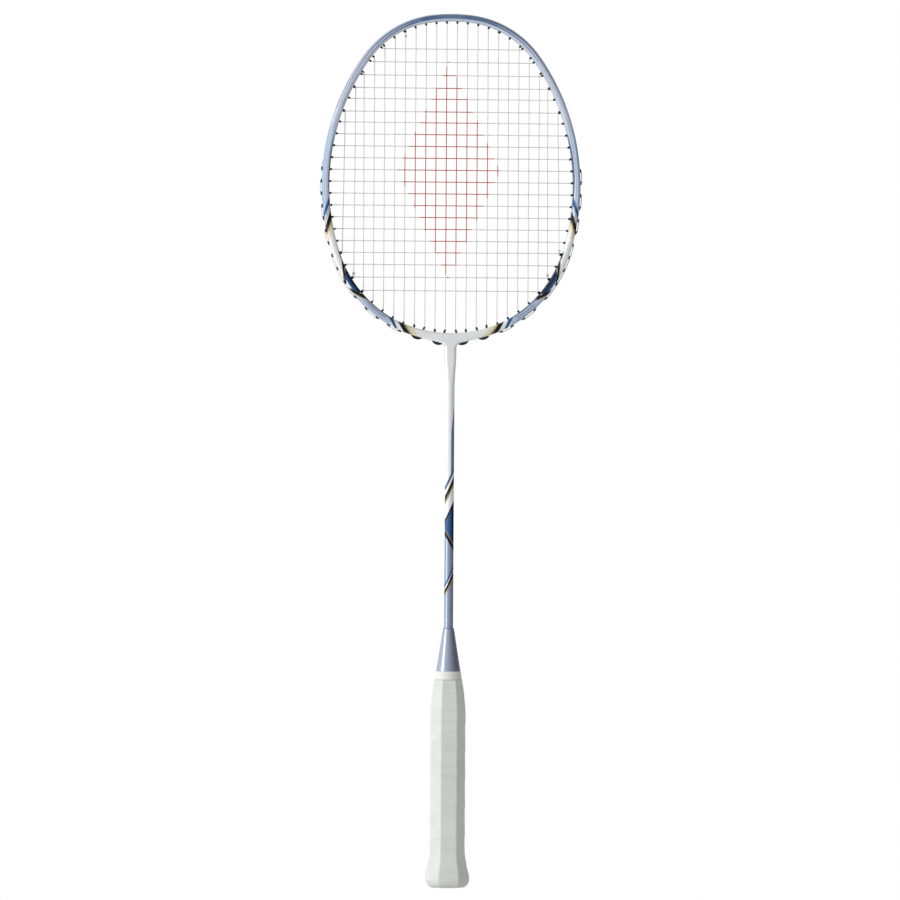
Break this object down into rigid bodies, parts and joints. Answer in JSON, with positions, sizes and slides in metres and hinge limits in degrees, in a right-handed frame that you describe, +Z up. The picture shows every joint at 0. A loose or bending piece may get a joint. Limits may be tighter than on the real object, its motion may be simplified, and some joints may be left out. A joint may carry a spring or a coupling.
{
  "type": "badminton racket",
  "caption": "Badminton racket with an oval carbon frame, woven string bed, slim round shaft, tapered cone cap and an eight-sided handle wrapped in a soft grip.",
  "frame": {"origin": "middle of the butt end of the handle", "axes": "+Z up the handle and shaft to the top of the head, +X across the head, +Y to the back of the string bed"},
  "size_m": [0.2038, 0.0298, 0.675],
  "materials": {
    "frame_paint": "metallic lacquer over carbon composite",
    "joint_metal": "raw",
    "shaft_paint": "metallic lacquer over carbon composite",
    "cone_plastic": "metallic",
    "handle_wood": "raw",
    "butt_plastic": "matte",
    "badge_plastic": "gloss",
    "grip_skin": "soft polyurethane",
    "band_tape": "satin",
    "grommet_plastic": "matte",
    "string_nylon": "satin"
  },
  "bodies": {
    "root": {"head_frame": "frame_paint", "t_joint": "joint_metal", "shaft": "shaft_paint", "cone_cap": "cone_plastic", "handle_core": "handle_wood", "butt_cap": "butt_plastic", "butt_badge": "badge_plastic", "grip_wrap": "grip_skin", "grip_band": "band_tape", "grommets_top": "grommet_plastic", "grommets_tie": "grommet_plastic", "grommets_bottom": "grommet_plastic", "grommets_left": "grommet_plastic", "grommets_right": "grommet_plastic", "grommets_shared_left": "grommet_plastic", "grommets_shared_right": "grommet_plastic", "throat_strips_inner": "grommet_plastic", "throat_strips_outer": "grommet_plastic", "main_string": "string_nylon", "cross_string": "string_nylon", "string_knots": "string_nylon"}
  },
  "joints": []
}
